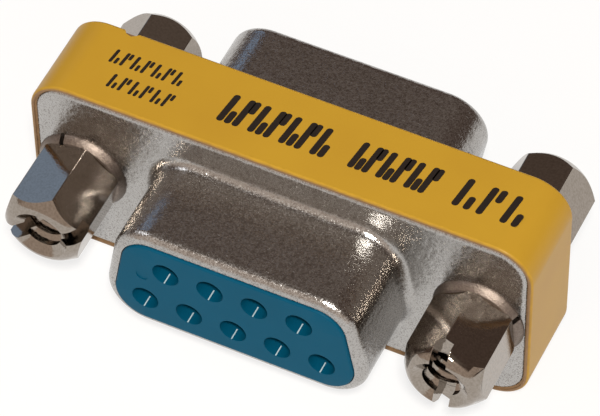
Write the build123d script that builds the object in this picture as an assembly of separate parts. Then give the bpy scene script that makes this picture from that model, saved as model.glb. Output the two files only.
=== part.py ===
from build123d import *
import math
import os

# Gender changer with nine ways: a moulded body between a pair of drawn metal shells,
# socket contacts on both sides, joined by a small board in the middle, and
# four hexagon posts that clamp the stack, the front ones on split washers.
# All lengths in millimetres.
# X runs along the flange, Y through the connectors, Z up; the origin is the
# centre of the body. The front connector faces -Y with its narrow side up.
# The rear one is the same connector turned half round the X axis.

os.makedirs("parts", exist_ok=True)

# How far a cut runs out past the piece it cuts
OVERCUT = 1.0

# Contact pattern, with one contact more in the wide row than in the narrow one
PITCH = 2.77
ROW_SPACING = 2.84
NARROW_ROW_WAYS = 4

# Metal shell, drawn from one sheet. The D is 16.33 by 7.90 outside, the flange
# 30.81 by 12.55, and the posts stand 24.99 apart, as the connector's standard
# has them; the sizes below are what lies between these and the contacts.
SHEET = 0.45
D_END = 2.625
D_SIDE = 2.53
D_SLOPE = 10.0
D_CORNER = 2.60
D_REACH = 5.75
BASE_BEND = 0.60
MOUTH_BEND = 0.60
MOUTH_LIP = 0.05
FLANGE_EAR = 7.24
FLANGE_SIDE = 2.325
FLANGE_CORNER = 2.15
FLANGE_ROUND = 0.35
POST_EDGE = 2.91

# Moulded body
BODY_DEPTH = 5.65
RIM_WALL = 0.25
RIM_ROUND = 0.18
FLANGE_CLEARANCE = 0.03
STUD_WALL = 0.87
CAVITY_SIDE = 0.875
CAVITY_CORNER = 1.00
CHIP_OFFSET = 0.70
CHIP_WIDTH = 1.10
CHIP_DEPTH = 0.42
CHIP_HEIGHT = 0.34

# Moulded insulator
INSULATOR_CLEARANCE = 0.05
INSULATOR_PROUD = 0.15
INSULATOR_EDGE = 0.12
SHOULDER_GAP = 0.575
MOULD_MARK_X = -5.66
MOULD_MARK_Z = 0.63
MOULD_MARK_DIAMETER = 0.75
MOULD_MARK_DEPTH = 0.05

# Socket contact
CONTACT_RECESS = 1.20
SOCKET_BORE = 1.04
SOCKET_WALL = 0.23
SOCKET_CLEARANCE = 0.08
SOCKET_DEPTH = 5.00
SOCKET_LEAD_IN = 0.10
SLIT_WIDTH = 0.22
SLIT_LENGTH = 3.60
COLLAR_CLEARANCE = 0.02
COLLAR_LENGTH = 1.60
TAIL_DIAMETER = 0.60
TAIL_PROUD = 0.30

# Wiring board
BOARD_THICKNESS = 1.00
BOARD_CLEARANCE = 0.30
TAIL_CLEARANCE = 0.05

# Hexagon posts
HEX_FLATS = 4.75
POST_LENGTH = 5.45
POST_NOSE_STEP = 0.425
POST_NOSE_RISE = 0.90
POST_NOSE_ROUND = 0.65
POST_BASE_CHAMFER = 0.12
BORE_MOUTH = 0.45
BORE_FLOOR = 1.25
SLOT_WIDTH = 1.00
SLOT_DEPTH = 1.30
STUD_DIAMETER = 2.84
THREAD_DEPTH = 0.29
STUD_CLEARANCE = 0.105
STUD_FIT = 0.03
STUD_END_GAP = 0.10
STUD_ENGAGEMENT = 2.00

# Split lock washers under the front posts
WASHER_DIAMETER = 5.70
WASHER_THICKNESS = 0.50
WASHER_CLEARANCE = 0.08
WASHER_SPLIT = 0.30
WASHER_ROUND = 0.12
LEFT_SPLIT_TURN = 125.0
RIGHT_SPLIT_TURN = 20.0

# How far each post came to rest, one corner turned from X towards Z, in degrees
FRONT_LEFT_TURN = 17.0
FRONT_RIGHT_TURN = 94.0
REAR_LEFT_TURN = 43.0
REAR_RIGHT_TURN = 3.0

# Widths and heights that follow from the contacts outwards
D_WIDTH = NARROW_ROW_WAYS * PITCH + 2 * D_END
D_HEIGHT = ROW_SPACING + 2 * D_SIDE
MOUTH_TURN_IN = MOUTH_BEND + MOUTH_LIP
FLANGE_WIDTH = D_WIDTH + 2 * FLANGE_EAR
FLANGE_HEIGHT = D_HEIGHT + 2 * FLANGE_SIDE
POST_SPACING = FLANGE_WIDTH - 2 * POST_EDGE
STUD_HOLE = STUD_DIAMETER + 2 * STUD_CLEARANCE
CAVITY_WIDTH = POST_SPACING - STUD_HOLE - 2 * STUD_WALL
CAVITY_HEIGHT = FLANGE_HEIGHT - 2 * CAVITY_SIDE
CONTACT_HOLE = SOCKET_BORE + 2 * (SOCKET_WALL + SOCKET_CLEARANCE)
POST_NOSE_FACE = HEX_FLATS - 2 * POST_NOSE_STEP
POST_BORE = STUD_DIAMETER - 2 * THREAD_DEPTH

# Places along Y
FLANGE_FACE = -BODY_DEPTH / 2
FLANGE_BACK = FLANGE_FACE + SHEET
MOUTH = FLANGE_FACE - D_REACH
INSULATOR_FACE = MOUTH - INSULATOR_PROUD
BOARD_FACE = -BOARD_THICKNESS / 2
SHOULDER_BACK = BOARD_FACE - SHOULDER_GAP
SOCKET_MOUTH = INSULATOR_FACE + CONTACT_RECESS
POST_TIP = FLANGE_FACE - POST_LENGTH
WASHER_FACE = FLANGE_FACE - WASHER_THICKNESS
POST_CORNER = HEX_FLATS / math.sqrt(3)

LEFT_POST = -POST_SPACING / 2
RIGHT_POST = POST_SPACING / 2


def section_at(y):
    """Drawing plane square to Y: its X is X, its Y is Z, and it faces -Y."""
    return Plane(origin=(0, y, 0), x_dir=(1, 0, 0), z_dir=(0, -1, 0))


def slab(outline, y_outer, y_inner):
    """A flat outline made solid between two places along Y."""
    return extrude(section_at(y_inner) * outline, y_inner - y_outer)


def rod(x, z, diameter, y_outer, y_inner):
    """A round rod along Y."""
    return slab(Pos(x, z) * Circle(diameter / 2), y_outer, y_inner)


def edges_at(solid, y):
    """The edges of a solid that lie in one plane square to Y."""
    return solid.edges().filter_by_position(Axis.Y, y - 1e-4, y + 1e-4)


def d_outline(inset):
    """The D of the connector, narrow side up, with every side moved in."""
    slope = math.radians(D_SLOPE)
    lean = math.tan(slope)
    half_height = D_HEIGHT / 2
    wide = D_WIDTH / 2 + D_CORNER * (lean + 1 / math.cos(slope) - 1)
    side = wide - inset / math.cos(slope)
    low_x = side - inset * lean
    high_x = side - (D_HEIGHT - inset) * lean
    low_z = -half_height + inset
    high_z = half_height - inset
    points = [(-low_x, low_z), (low_x, low_z), (high_x, high_z), (-high_x, high_z)]
    outline = make_face(Polyline(*points, close=True))
    return fillet(outline.vertices(), D_CORNER - inset)


def flange_outline(grow):
    """The flange's rounded rectangle, moved out all round."""
    width = FLANGE_WIDTH + 2 * grow
    height = FLANGE_HEIGHT + 2 * grow
    return RectangleRounded(width, height, FLANGE_CORNER + grow)


def contact_places():
    """Hole centres of the front connector, the wide low row first."""
    places = []
    rows = ((NARROW_ROW_WAYS + 1, -ROW_SPACING / 2), (NARROW_ROW_WAYS, ROW_SPACING / 2))
    for ways, z in rows:
        first = -(ways - 1) * PITCH / 2
        places += [(first + n * PITCH, z) for n in range(ways)]
    return places


def turned_to_rear(solid):
    """The rear copy of a front piece: half a turn round X."""
    return Rot(180, 0, 0) * solid


def stud_holes():
    """Clearance holes for the two studs, right through the stack."""
    start = FLANGE_FACE - OVERCUT
    left = rod(LEFT_POST, 0, STUD_HOLE, start, -start)
    right = rod(RIGHT_POST, 0, STUD_HOLE, start, -start)
    return left + right


def make_body():
    """Moulded frame: a seat for each flange, a cavity and two stud holes."""
    rim = flange_outline(FLANGE_CLEARANCE + RIM_WALL)
    body = slab(rim, FLANGE_FACE, -FLANGE_FACE)
    body = fillet(edges_at(body, FLANGE_FACE) + edges_at(body, -FLANGE_FACE), RIM_ROUND)
    seat = slab(flange_outline(FLANGE_CLEARANCE), FLANGE_FACE - OVERCUT, FLANGE_BACK)
    cavity = RectangleRounded(CAVITY_WIDTH, CAVITY_HEIGHT, CAVITY_CORNER)
    body -= seat
    body -= turned_to_rear(seat)
    body -= slab(cavity, FLANGE_FACE, -FLANGE_FACE)
    body -= stud_holes()
    return body - rim_chip()


def rim_chip():
    """A small break in the top rear edge, beside the left post."""
    top = FLANGE_HEIGHT / 2 + FLANGE_CLEARANCE + RIM_WALL
    rear = -FLANGE_FACE
    half = CHIP_WIDTH / 2
    ragged = Polyline(
        (-half, 0),
        (-half * 0.55, -CHIP_DEPTH * 0.8),
        (half * 0.10, -CHIP_DEPTH),
        (half * 0.60, -CHIP_DEPTH * 0.55),
        (half, 0),
        (half, OVERCUT),
        (-half, OVERCUT),
        close=True,
    )
    corner = (LEFT_POST + CHIP_OFFSET, rear, top - CHIP_HEIGHT)
    break_face = Plane(origin=corner) * make_face(ragged)
    return extrude(break_face, CHIP_HEIGHT + OVERCUT)


def make_shell():
    """Drawn shell: flange, D-shaped cup, bent base and turned-in mouth."""
    flange = slab(flange_outline(0), FLANGE_FACE, FLANGE_BACK)
    flange = fillet(edges_at(flange, FLANGE_FACE), FLANGE_ROUND)
    shell = flange + slab(d_outline(0), MOUTH, FLANGE_FACE)
    shell = fillet(edges_at(shell, MOUTH), MOUTH_BEND)
    base = edges_at(shell, FLANGE_FACE).filter_by(on_the_cup)
    shell = fillet(base, BASE_BEND)
    hollow = slab(d_outline(SHEET), MOUTH + SHEET, FLANGE_BACK)
    hollow = fillet(edges_at(hollow, MOUTH + SHEET), MOUTH_BEND - SHEET)
    shell -= hollow
    back = edges_at(shell, FLANGE_BACK).filter_by(on_the_cup)
    shell = fillet(back, BASE_BEND + SHEET)
    shell -= slab(d_outline(MOUTH_TURN_IN), MOUTH - OVERCUT, MOUTH + SHEET + OVERCUT)
    return shell - stud_holes()


def on_the_cup(edge):
    """True for an edge that belongs to the cup rather than the flange's rim."""
    middle = edge.center()
    return abs(middle.X) < D_WIDTH / 2 and abs(middle.Z) <= D_HEIGHT / 2 + 1e-3


def make_insulator():
    """Moulded insulator: nose in the mouth, stem in the cup, shoulder behind."""
    stem_front = MOUTH + SHEET + INSULATOR_CLEARANCE
    nose = slab(d_outline(MOUTH_TURN_IN + INSULATOR_CLEARANCE), INSULATOR_FACE, stem_front)
    nose = fillet(edges_at(nose, INSULATOR_FACE), INSULATOR_EDGE)
    stem = slab(d_outline(SHEET + INSULATOR_CLEARANCE), stem_front, SHOULDER_BACK)
    stem = fillet(edges_at(stem, stem_front), MOUTH_BEND - SHEET)
    shoulder_width = CAVITY_WIDTH - 2 * INSULATOR_CLEARANCE
    shoulder_height = CAVITY_HEIGHT - 2 * INSULATOR_CLEARANCE
    shoulder_corner = CAVITY_CORNER - INSULATOR_CLEARANCE
    shoulder = RectangleRounded(shoulder_width, shoulder_height, shoulder_corner)
    insulator = nose + stem + slab(shoulder, FLANGE_BACK, SHOULDER_BACK)
    for x, z in contact_places():
        insulator -= rod(x, z, CONTACT_HOLE, INSULATOR_FACE - OVERCUT, SHOULDER_BACK + OVERCUT)
    return insulator - mould_mark()


def mould_mark():
    """The shallow round mark that the mould leaves in the insulator's face."""
    floor = INSULATOR_FACE + MOULD_MARK_DEPTH
    return rod(MOULD_MARK_X, MOULD_MARK_Z, MOULD_MARK_DIAMETER, INSULATOR_FACE - OVERCUT, floor)


def make_contact(x, z):
    """Slit socket with a collar at the board and a tail through the board."""
    socket = rod(x, z, SOCKET_BORE + 2 * SOCKET_WALL, SOCKET_MOUTH, BOARD_FACE)
    collar_width = CONTACT_HOLE - 2 * COLLAR_CLEARANCE
    collar = rod(x, z, collar_width, BOARD_FACE - COLLAR_LENGTH, BOARD_FACE)
    tail = rod(x, z, TAIL_DIAMETER, BOARD_FACE, BOARD_THICKNESS / 2 + TAIL_PROUD)
    bore = rod(x, z, SOCKET_BORE, SOCKET_MOUTH, SOCKET_MOUTH + SOCKET_DEPTH)
    slit_place = Pos(x, SOCKET_MOUTH + SLIT_LENGTH / 2, z)
    slit = slit_place * Box(CONTACT_HOLE, SLIT_LENGTH, SLIT_WIDTH)
    body = socket - bore
    rim = edges_at(body, SOCKET_MOUTH).sort_by(SortBy.LENGTH)[0]
    body = chamfer(rim, SOCKET_LEAD_IN)
    return body + collar + tail - slit


def make_board():
    """Small board with a hole for every tail of both connectors."""
    width = CAVITY_WIDTH - 2 * BOARD_CLEARANCE
    height = CAVITY_HEIGHT - 2 * BOARD_CLEARANCE
    corner = CAVITY_CORNER - BOARD_CLEARANCE
    board = slab(RectangleRounded(width, height, corner), BOARD_FACE, -BOARD_FACE)
    hole = TAIL_DIAMETER + 2 * TAIL_CLEARANCE
    for x, z in contact_places():
        board -= rod(x, z, hole, BOARD_FACE - OVERCUT, -BOARD_FACE + OVERCUT)
        board -= rod(x, -z, hole, BOARD_FACE - OVERCUT, -BOARD_FACE + OVERCUT)
    return board


def post_envelope(foot):
    """Round form that trims the hexagon's nose and its foot, on the Y axis."""
    wide = POST_CORNER + OVERCUT
    nose = POST_NOSE_FACE / 2
    rise = POST_NOSE_RISE * (wide - nose) / (POST_CORNER - nose)
    base = POST_CORNER - POST_BASE_CHAMFER
    profile = Polyline(
        (0, foot),
        (base, foot),
        (wide, foot - (wide - base)),
        (wide, POST_TIP + rise),
        (nose, POST_TIP),
        (0, POST_TIP),
        close=True,
    )
    trimmed = make_face(profile)
    nose_corner = trimmed.vertices().sort_by(Axis.Y)[:2].sort_by(Axis.X)[-1]
    trimmed = fillet(nose_corner, POST_NOSE_ROUND)
    return revolve(trimmed, Axis.Y, 360)


def hexagon_post(turn, foot):
    """Hexagon with its nose trimmed, one corner turned from X towards Z."""
    hexagon = RegularPolygon(HEX_FLATS / 2, 6, major_radius=False, rotation=turn)
    return slab(hexagon, POST_TIP, foot) & post_envelope(foot)


def opened_bore(depth):
    """Tapping bore from the nose inwards, with a small countersunk mouth."""
    bore = rod(0, 0, POST_BORE, POST_TIP - OVERCUT, POST_TIP + depth)
    sink = Cone(POST_BORE / 2, POST_BORE / 2 + BORE_MOUTH, BORE_MOUTH)
    sink_place = Pos(0, POST_TIP + BORE_MOUTH / 2, 0) * Rot(90, 0, 0)
    return bore + sink_place * sink


def make_front_post(x, turn):
    """Slotted post with the stud that runs through the stack."""
    post = hexagon_post(turn, WASHER_FACE) - opened_bore(POST_LENGTH - BORE_FLOOR)
    slot = Rot(0, -turn, 0) * Box(2 * HEX_FLATS, SLOT_DEPTH * 2, SLOT_WIDTH)
    post -= Pos(0, POST_TIP, 0) * slot
    post += rod(0, 0, STUD_DIAMETER, WASHER_FACE, -FLANGE_FACE + STUD_ENGAGEMENT)
    return Pos(x, 0, 0) * post


def make_washer(x, split_turn):
    """Split washer between a front post and the flange."""
    washer = rod(0, 0, WASHER_DIAMETER, WASHER_FACE, FLANGE_FACE)
    washer = fillet(edges_at(washer, WASHER_FACE), WASHER_ROUND)
    hole = STUD_DIAMETER + 2 * WASHER_CLEARANCE
    washer -= rod(0, 0, hole, WASHER_FACE - OVERCUT, FLANGE_FACE + OVERCUT)
    middle = (FLANGE_FACE + WASHER_FACE) / 2
    gap = Pos(WASHER_DIAMETER / 2, middle, 0) * Box(WASHER_DIAMETER, OVERCUT, WASHER_SPLIT)
    washer -= Rot(0, -split_turn, 0) * gap
    return Pos(x, 0, 0) * washer


def make_rear_post(x, turn):
    """Plain post, bored through, its base opened to the stud's outer diameter."""
    post = hexagon_post(-turn, FLANGE_FACE) - opened_bore(POST_LENGTH + OVERCUT)
    stud_seat = FLANGE_FACE - STUD_ENGAGEMENT - STUD_END_GAP
    post -= rod(0, 0, STUD_DIAMETER + 2 * STUD_FIT, stud_seat, FLANGE_FACE + OVERCUT)
    return Pos(x, 0, 0) * turned_to_rear(post)


shell = make_shell()
insulator = make_insulator()

nodes = {
    "body": make_body(),
    "front_shell": shell,
    "rear_shell": turned_to_rear(shell),
    "front_insulator": insulator,
    "rear_insulator": turned_to_rear(insulator),
    "wiring_board": make_board(),
    "front_left_post": make_front_post(LEFT_POST, FRONT_LEFT_TURN),
    "front_right_post": make_front_post(RIGHT_POST, FRONT_RIGHT_TURN),
    "front_left_washer": make_washer(LEFT_POST, LEFT_SPLIT_TURN),
    "front_right_washer": make_washer(RIGHT_POST, RIGHT_SPLIT_TURN),
    "rear_left_post": make_rear_post(LEFT_POST, REAR_LEFT_TURN),
    "rear_right_post": make_rear_post(RIGHT_POST, REAR_RIGHT_TURN),
}

for way, (x, z) in enumerate(contact_places(), start=1):
    contact = make_contact(x, z)
    nodes[f"front_contact_{way}"] = contact
    nodes[f"rear_contact_{way}"] = turned_to_rear(contact)

for name, solid in nodes.items():
    export_step(solid, f"parts/{name}.step")
    print(name, round(solid.volume, 3))
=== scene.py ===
# %% [markdown]
# # A nine-way gender changer
#
# This small adapter joins two cables whose plugs are of the same kind. A yellow
# moulded frame is clamped between two drawn metal shells. Each shell holds a
# blue insulator with nine sockets, and four hexagon posts hold the stack
# together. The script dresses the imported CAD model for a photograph: visible
# pieces are made again with smooth bends and fine detail, and the contacts and
# the board inside keep their CAD shapes and get better materials.

import math

import bmesh
import bpy
from mathutils import Matrix, Vector


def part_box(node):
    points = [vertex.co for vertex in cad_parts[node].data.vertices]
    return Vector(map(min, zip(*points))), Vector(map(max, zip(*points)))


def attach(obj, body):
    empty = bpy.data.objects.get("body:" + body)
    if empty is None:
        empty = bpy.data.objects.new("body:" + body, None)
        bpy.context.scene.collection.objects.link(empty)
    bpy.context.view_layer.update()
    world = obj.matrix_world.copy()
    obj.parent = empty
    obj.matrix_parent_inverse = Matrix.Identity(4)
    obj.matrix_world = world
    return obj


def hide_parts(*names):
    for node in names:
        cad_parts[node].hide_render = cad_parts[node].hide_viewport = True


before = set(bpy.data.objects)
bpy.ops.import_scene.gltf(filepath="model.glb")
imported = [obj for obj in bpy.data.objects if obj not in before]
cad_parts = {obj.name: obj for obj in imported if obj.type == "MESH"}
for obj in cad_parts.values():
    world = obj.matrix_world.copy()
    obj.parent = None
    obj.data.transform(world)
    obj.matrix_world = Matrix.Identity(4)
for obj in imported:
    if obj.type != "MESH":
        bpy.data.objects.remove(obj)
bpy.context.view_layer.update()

# %% [markdown]
# ## Working units and the sizes that the pieces share
#
# A connector drawing is in millimetres, so every mesh here is shaped in
# millimetres and brought to metres when it is finished. X runs along the
# flange, Y through the connectors and Z up, with the origin in the middle of
# the body. What the frame can say is read from it. The rest are the driving
# sizes of the drawing.

# %% Sizes in millimetres
MM = 0.001


def limits(node):
    """Lowest and highest corner of a CAD node, in millimetres."""
    low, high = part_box(node)
    return low / MM, high / MM


shell_low, shell_high = limits("front_shell")
body_low, body_high = limits("body")
insulator_low, insulator_high = limits("front_insulator")
post_low, post_high = limits("front_left_post")

SHEET = 0.45
FLANGE_FACE = body_low.y
FLANGE_BACK = FLANGE_FACE + SHEET
MOUTH = shell_low.y
INSULATOR_FACE = insulator_low.y
SHOULDER_BACK = insulator_high.y
POST_TIP = post_low.y
STUD_TIP = post_high.y
POST_X = 12.495

print("flange face", round(FLANGE_FACE, 3), "mouth", round(MOUTH, 3),
      "post tip", round(POST_TIP, 3))

# %% [markdown]
# ## Tracing a rounded outline
#
# Almost every outline here is a loop of straight sides and round corners: the
# D of the plug, the flange, the frame. A bevel of a polygon's points gives such
# corners too, but only a right angle comes out truly round. So the loop is
# traced as a draughtsman would with compasses: a point is spun about each
# corner's centre, and the next corner's first point is joined to it.
#
# Outlines that share their corner centres and differ only in radius lie at an
# even distance from each other, which is what a bent sheet needs.
#
# Bridging pairs the points of two loops by the line between the loops. Where
# both lie in one plane there is no such line and the band comes out twisted, so
# one of them is lifted out of the plane for the moment of bridging.

# %% Loops, rings and the strips between them
CORNER_STEP = 6.0


def at_angle(x, z, radius, degrees, y):
    """A point on a circle in a plane square to Y."""
    turn = math.radians(degrees)
    return Vector((x + radius * math.cos(turn), y, z + radius * math.sin(turn)))


def point(bm, place):
    """One new vertex."""
    return bmesh.ops.create_vert(bm, co=place)["vert"][0]


def rounded_loop(bm, corners, radius, y):
    """A closed loop round (x, z, turn) corners, anticlockwise from the lowest right one."""
    before = set(bm.edges)
    heading = -90.0
    first = last = None
    for x, z, turn in corners:
        start = point(bm, at_angle(x, z, radius, heading, y))
        if last is None:
            first = start
        else:
            bmesh.ops.contextual_create(bm, geom=[last, start])
        arc = bmesh.ops.spin(
            bm, geom=[start], cent=(x, y, z), axis=(0, -1, 0),
            angle=math.radians(turn), steps=round(turn / CORNER_STEP), use_duplicate=False,
        )
        last = [part for part in arc["geom_last"] if isinstance(part, bmesh.types.BMVert)][0]
        heading += turn
    bmesh.ops.contextual_create(bm, geom=[last, first])
    return [edge for edge in bm.edges if edge not in before]


def ring(bm, x, z, radius, y, steps=48):
    """A circle of edges in a plane square to Y."""
    before = set(bm.edges)
    place = Matrix.Translation((x, y, z)) @ Matrix.Rotation(math.radians(90), 4, "X")
    bmesh.ops.create_circle(bm, cap_ends=False, segments=steps, radius=radius,
                            matrix=place)
    return [edge for edge in bm.edges if edge not in before]


LIFT = 5.0
TOUCHING = 1e-4


def strip(bm, one, other):
    """A band of faces between two loops with as many points."""
    level = one[0].verts[0].co.y
    flat = abs(level - other[0].verts[0].co.y) < TOUCHING
    points = list({vert for edge in other for vert in edge.verts})
    if flat:
        bmesh.ops.translate(bm, verts=points, vec=(0, LIFT, 0))
    faces = bmesh.ops.bridge_loops(bm, edges=one + other)["faces"]
    if flat:
        bmesh.ops.translate(bm, verts=points, vec=(0, -LIFT, 0))
    return faces


def chain(bm, loops):
    """Bands from each loop to the next."""
    for one, other in zip(loops, loops[1:]):
        strip(bm, one, other)


def sheet_between(bm, *loops):
    """Fills the flat region inside the first loop and outside the others."""
    edges = [edge for loop in loops for edge in loop]
    return bmesh.ops.triangle_fill(bm, use_beauty=True, use_dissolve=False, edges=edges)


def rounded(bm, edges, radius, steps):
    """Rounds sharp edges as a bend or a worn edge does."""
    bmesh.ops.recalc_face_normals(bm, faces=bm.faces)
    bmesh.ops.bevel(
        bm, geom=edges, offset=radius, offset_type="OFFSET", segments=steps, profile=0.5,
        affect="EDGES", clamp_overlap=False, material=-1,
    )


# %% [markdown]
# ## Turning a finished mesh into a piece of the object
#
# A mesh ends the same way each time: its normals are made to point outwards, it
# goes from millimetres to metres, edges sharper than a set angle stay crisp,
# and a weighted-normal modifier lets the large flat faces keep their flatness
# up to the edge of a bend. Mirror-like metal shows at once where that fails.

# %% Finishing a piece
CRISP = math.radians(38)


def link(thing):
    """Puts an object in the scene."""
    bpy.context.scene.collection.objects.link(thing)


def finished(name, bm, materials, node):
    """Makes the object and lets it stand for its CAD node, if it has one."""
    bmesh.ops.recalc_face_normals(bm, faces=bm.faces)
    open_edges = sum(not edge.is_manifold for edge in bm.edges)
    clashes = sum(edge.is_manifold and not edge.is_contiguous for edge in bm.edges)
    bmesh.ops.scale(bm, vec=(MM, MM, MM), verts=bm.verts)
    for face in bm.faces:
        face.smooth = True
    for edge in bm.edges:
        edge.smooth = edge.calc_face_angle(0.0) < CRISP
    mesh = bpy.data.meshes.new(name)
    bm.to_mesh(mesh)
    bm.free()
    piece = bpy.data.objects.new(name, mesh)
    link(piece)
    for material in materials:
        mesh.materials.append(material)
    even = piece.modifiers.new("even_shading", "WEIGHTED_NORMAL")
    even.keep_sharp = True
    even.weight = 50
    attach(piece, "root")
    if node:
        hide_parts(node)
    print(name, len(mesh.polygons), "faces,", open_edges, "open edges,", clashes,
          "turned against each other")


def cut_away(bm, cutter):
    """Takes the cutter's solid out of the mesh and returns the mesh that is left."""
    work = bpy.data.meshes.new("work")
    bm.to_mesh(work)
    bm.free()
    tool = bpy.data.meshes.new("tool")
    cutter.to_mesh(tool)
    cutter.free()
    stock = bpy.data.objects.new("stock", work)
    blade = bpy.data.objects.new("blade", tool)
    for thing in (stock, blade):
        link(thing)
    cut = stock.modifiers.new("cut", "BOOLEAN")
    cut.operation = "DIFFERENCE"
    cut.solver = "EXACT"
    cut.object = blade
    evaluated = stock.evaluated_get(bpy.context.evaluated_depsgraph_get())
    result = bpy.data.meshes.new_from_object(evaluated)
    left = bmesh.new()
    left.from_mesh(result)
    for thing in (stock, blade):
        bpy.data.objects.remove(thing)
    for mesh in (work, tool, result):
        bpy.data.meshes.remove(mesh)
    return left


def half_turned(bm):
    """Turns a front piece's mesh round X, so that it becomes the rear one's, and returns it."""
    bmesh.ops.rotate(bm, verts=bm.verts, cent=(0, 0, 0), matrix=Matrix.Rotation(math.pi, 3, "X"))
    return bm


# %% [markdown]
# ## Colours and the one helper for material nodes
#
# Colours are written as the sRGB hex values that a colour picker shows, and one
# function turns them into the linear values that a renderer works with. One
# small helper adds a node with its settings and its links, so a material reads
# from top to bottom as a recipe.
#
# A Mix node's sockets for colours are found by their place, which gets a name
# here. A Math node's inputs are simply 0, 1 and 2.

# %% Colour and node helpers
MIX_BY, MIX_ONE, MIX_OTHER, MIXED = 0, 6, 7, 2


def colour(hex_code):
    """Linear RGBA of an sRGB hex colour."""
    parts = [int(hex_code[i:i + 2], 16) / 255 for i in (1, 3, 5)]
    linear = [p / 12.92 if p <= 0.04045 else ((p + 0.055) / 1.055) ** 2.4 for p in parts]
    return (*linear, 1.0)


def add(tree, kind, sockets=None, **settings):
    """Adds a shader node. A socket is given a value, or another node's output to be fed by."""
    node = tree.nodes.new("ShaderNode" + kind)
    for name, value in settings.items():
        setattr(node, name, value)
    for name, value in (sockets or {}).items():
        if isinstance(value, bpy.types.NodeSocket):
            tree.links.new(value, node.inputs[name])
        else:
            node.inputs[name].default_value = value
    return node


def new_material(name):
    """An empty material, its node tree, and the Object coordinates that its patterns read."""
    material = bpy.data.materials.new(name)
    material.use_nodes = True
    tree = material.node_tree
    tree.nodes.clear()
    print("material", name)
    return material, tree, add(tree, "TexCoord").outputs["Object"]


def shown(material, shader):
    """Joins the finished shader to an output node and returns the material."""
    add(material.node_tree, "OutputMaterial", {"Surface": shader})
    return material


# Feature sizes are given in millimetres. A noise of scale s repeats about every
# 1/s metres of object space.
def per(size_mm):
    """Texture scale for features of this size."""
    return 1.0 / (size_mm * MM)


# %% [markdown]
# ## Tin-plated steel: the drawn shells
#
# The shells are pressed from thin steel and plated with tin. Fresh plate is a
# dull mirror. In use the plugs and thumbs have scuffed it: fine scratches in
# all directions, small dents and dark pits that break up the light, and a faint
# bloom. The scratches and pits are finer than a pixel, so they are drawn a
# little coarser, as a bump and as a change of roughness and colour.

# %% Tin plate
def make_tin_plate():
    material, tree, spot = new_material("tin_plated_drawn_steel")
    grit = add(tree, "TexNoise", {
        "Vector": spot, "Scale": per(0.10), "Detail": 2.0, "Roughness": 0.7,
    })
    cloud = add(tree, "TexNoise", {"Vector": spot, "Scale": per(1.8), "Detail": 4.0})
    along = add(tree, "Mapping", {"Vector": spot, "Scale": (0.35, 1.0, 1.0),
                                  "Rotation": (0.0, 0.35, 0.25)})
    scratch = add(tree, "TexNoise", {
        "Vector": along.outputs["Vector"], "Scale": per(0.16), "Detail": 2.0,
    })
    fine = add(tree, "MapRange", {"Value": scratch.outputs["Fac"], "From Min": 0.62, "From Max": 0.70,
                                  "To Max": 0.4})
    rough = add(tree, "MapRange", {"Value": grit.outputs["Fac"], "From Min": 0.38, "From Max": 0.66,
                                   "To Min": 0.11, "To Max": 0.34})
    bloom = add(tree, "Mix", {
        MIX_BY: cloud.outputs["Fac"], MIX_ONE: colour("#BAB8B6"), MIX_OTHER: colour("#A5A29E"),
    }, data_type="RGBA")
    pits = add(tree, "MapRange", {"Value": grit.outputs["Fac"], "From Min": 0.36, "From Max": 0.50})
    plate = add(tree, "Mix", {
        MIX_BY: pits.outputs["Result"], MIX_ONE: colour("#8C8884"), MIX_OTHER: bloom.outputs[MIXED],
    }, data_type="RGBA")
    dents = add(tree, "TexNoise", {"Vector": spot, "Scale": per(0.40), "Detail": 1.0})
    marks = add(tree, "Math", {0: grit.outputs["Fac"], 1: fine.outputs["Result"]}, operation="ADD")
    height = add(tree, "Math", {0: dents.outputs["Fac"], 1: 2.0, 2: marks.outputs["Value"]},
                 operation="MULTIPLY_ADD")
    bump = add(tree, "Bump", {
        "Height": height.outputs["Value"], "Strength": 0.75, "Distance": 0.02 * MM,
    })
    shader = add(tree, "BsdfPrincipled", {
        "Base Color": plate.outputs[MIXED],
        "Metallic": 1.0,
        "Roughness": rough.outputs["Result"],
        "Normal": bump.outputs["Normal"],
    })
    return shown(material, shader.outputs["BSDF"])


tin_plate = make_tin_plate()

# %% [markdown]
# ## Nickel plate: the hexagon posts
#
# The posts are turned from hexagon bar and nickel plated. Nickel is harder and
# a little yellower than tin, so it stays smoother, and its flat facets show the
# room as fields of light and dark. Handling has left a fine brown tarnish, which
# is drawn a little coarser than it is.

# %% Nickel plate
def make_nickel_plate():
    material, tree, spot = new_material("nickel_plated_turned_brass")
    grit = add(tree, "TexNoise", {"Vector": spot, "Scale": per(0.13), "Detail": 4.0})
    rough = add(tree, "MapRange", {"Value": grit.outputs["Fac"], "From Min": 0.38, "From Max": 0.66,
                                   "To Min": 0.05, "To Max": 0.13})
    tarnish_and_hollow_shade = add(tree, "MapRange", {"Value": grit.outputs["Fac"], "From Min": 0.35, "From Max": 0.60})
    plate = add(tree, "Mix", {
        MIX_BY: tarnish_and_hollow_shade.outputs["Result"], MIX_ONE: colour("#8E857B"), MIX_OTHER: colour("#9C938A"),
    }, data_type="RGBA")
    bump = add(tree, "Bump", {"Height": grit.outputs["Fac"], "Strength": 0.25, "Distance": 0.02 * MM})
    shader = add(tree, "BsdfPrincipled", {
        "Base Color": plate.outputs[MIXED],
        "Metallic": 1.0,
        "Roughness": rough.outputs["Result"],
        "Normal": bump.outputs["Normal"],
    })
    return shown(material, shader.outputs["BSDF"])


nickel_plate = make_nickel_plate()
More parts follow.
